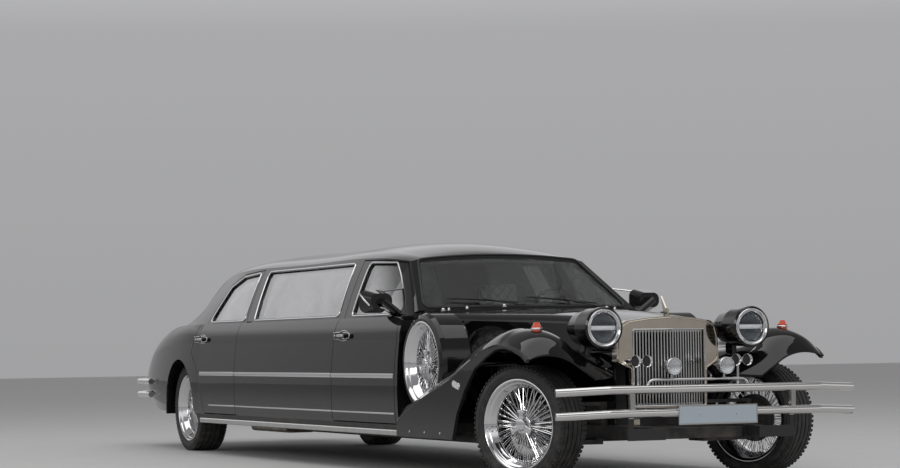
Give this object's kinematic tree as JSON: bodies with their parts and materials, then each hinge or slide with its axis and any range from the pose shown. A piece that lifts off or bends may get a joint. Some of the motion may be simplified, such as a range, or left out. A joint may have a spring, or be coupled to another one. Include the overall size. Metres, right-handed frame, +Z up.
{
  "type": "stretch limousine",
  "caption": "Neo-classic stretch limousine with a long cabin, opening doors, hood and trunk, steered wire wheels, side-mounted covered spares and an upright radiator.",
  "frame": {"origin": "on the ground, under the middle of the overall length and width", "axes": "+X forward, +Y to the car's left, +Z up"},
  "size_m": [8.19, 2.19, 1.5402],
  "materials": {
    "body_paint": "gloss",
    "chrome": "polished",
    "shell": "polished",
    "glass": "gloss",
    "lens": "gloss",
    "lamps": "gloss",
    "tyre": "matte",
    "frame_steel": "satin",
    "engine": "matte",
    "steel": "satin",
    "upholstery": "satin",
    "dash": "matte",
    "partition": "satin"
  },
  "bodies": {
    "body": {"chassis_frame": "frame_steel", "floor_pan": "body_paint", "cowl": "body_paint", "roof_panel": "body_paint", "side_panel_right": "body_paint", "side_panel_left": "body_paint", "rear_quarter_right": "body_paint", "rear_quarter_left": "body_paint", "tail_panel": "body_paint", "windshield": "glass", "rear_window": "glass", "side_windows": "glass", "front_fender_right": "body_paint", "front_fender_left": "body_paint", "radiator_shell": "shell", "grille": "chrome", "headlamps": "body_paint", "headlamp_lenses": "lens", "lamp_bar": "chrome", "front_bumper": "chrome", "rear_bumper": "chrome", "running_boards": "steel", "spare_wheels": "chrome", "spare_covers": "body_paint", "engine": "engine", "exhaust": "steel", "fuel_tank": "frame_steel", "rear_axle": "frame_steel", "seats": "upholstery", "dashboard": "dash", "partition": "partition", "signal_lamps": "lamps"},
    "hood": {"hood": "body_paint"},
    "trunk_lid": {"trunk_lid": "body_paint"},
    "door_front_right": {"door_front_right": "body_paint", "door_glass_front_right": "glass"},
    "door_rear_right": {"door_rear_right": "body_paint", "door_glass_rear_right": "glass"},
    "knuckle_right": {"knuckle_right": "frame_steel"},
    "wheel_front_right": {"wheel_front_right": "chrome", "tyre_front_right": "tyre"},
    "wheel_rear_right": {"wheel_rear_right": "chrome", "tyre_rear_right": "tyre"},
    "door_front_left": {"door_front_left": "body_paint", "door_glass_front_left": "glass"},
    "door_rear_left": {"door_rear_left": "body_paint", "door_glass_rear_left": "glass"},
    "knuckle_left": {"knuckle_left": "frame_steel"},
    "wheel_front_left": {"wheel_front_left": "chrome", "tyre_front_left": "tyre"},
    "wheel_rear_left": {"wheel_rear_left": "chrome", "tyre_rear_left": "tyre"},
    "tie_rod": {"tie_rod": "frame_steel"}
  },
  "joints": [
    {"name": "door_front_right_hinge", "type": "hinge", "parent": "body", "child": "door_front_right", "pos_m": [1.729, -0.981, 0.6], "axis": [0, 0, 1], "range_deg": [0, 65]},
    {"name": "door_rear_right_hinge", "type": "hinge", "parent": "body", "child": "door_rear_right", "pos_m": [-1.311, -0.981, 0.6], "axis": [0, 0, 1], "range_deg": [0, 65]},
    {"name": "door_front_left_hinge", "type": "hinge", "parent": "body", "child": "door_front_left", "pos_m": [1.729, 0.981, 0.6], "axis": [0, 0, -1], "range_deg": [0, 65]},
    {"name": "door_rear_left_hinge", "type": "hinge", "parent": "body", "child": "door_rear_left", "pos_m": [-1.311, 0.981, 0.6], "axis": [0, 0, -1], "range_deg": [0, 65]},
    {"name": "hood_hinge", "type": "hinge", "parent": "body", "child": "hood", "pos_m": [1.805, 0, 1.0445], "axis": [0, -1, 0], "range_deg": [0, 50]},
    {"name": "trunk_lid_hinge", "type": "hinge", "parent": "body", "child": "trunk_lid", "pos_m": [-3.24, 0, 1.049], "axis": [0, 1, 0], "range_deg": [0, 70]},
    {"name": "steer_right", "type": "hinge", "parent": "body", "child": "knuckle_right", "pos_m": [3.255, -0.715, 0.345], "axis": [0, 0, 1], "range_deg": [-58, 12]},
    {"name": "steer_left", "type": "hinge", "parent": "body", "child": "knuckle_left", "pos_m": [3.255, 0.715, 0.345], "axis": [0, 0, 1], "range_deg": [-58, 12]},
    {"name": "tie_rod_pivot", "type": "hinge", "parent": "knuckle_right", "child": "tie_rod", "pos_m": [3.1169, -0.7736, 0.235], "axis": [0, 0, 1], "range_deg": [-12, 58]},
    {"name": "wheel_front_right_spin", "type": "hinge", "parent": "knuckle_right", "child": "wheel_front_right", "pos_m": [3.29017, -0.79785, 0.345], "axis": [0.3907, -0.9205, 0], "continuous": true},
    {"name": "wheel_rear_right_spin", "type": "hinge", "parent": "body", "child": "wheel_rear_right", "pos_m": [-2.665, -0.785, 0.345], "axis": [0, -1, 0], "continuous": true},
    {"name": "wheel_front_left_spin", "type": "hinge", "parent": "knuckle_left", "child": "wheel_front_left", "pos_m": [3.21983, 0.79785, 0.345], "axis": [-0.3907, 0.9205, 0], "continuous": true},
    {"name": "wheel_rear_left_spin", "type": "hinge", "parent": "body", "child": "wheel_rear_left", "pos_m": [-2.665, 0.785, 0.345], "axis": [0, 1, 0], "continuous": true}
  ],
  "couplings": [
    {"joint": "steer_left", "follows": "steer_right", "ratio": 1},
    {"joint": "tie_rod_pivot", "follows": "steer_right", "ratio": -1}
  ]
}
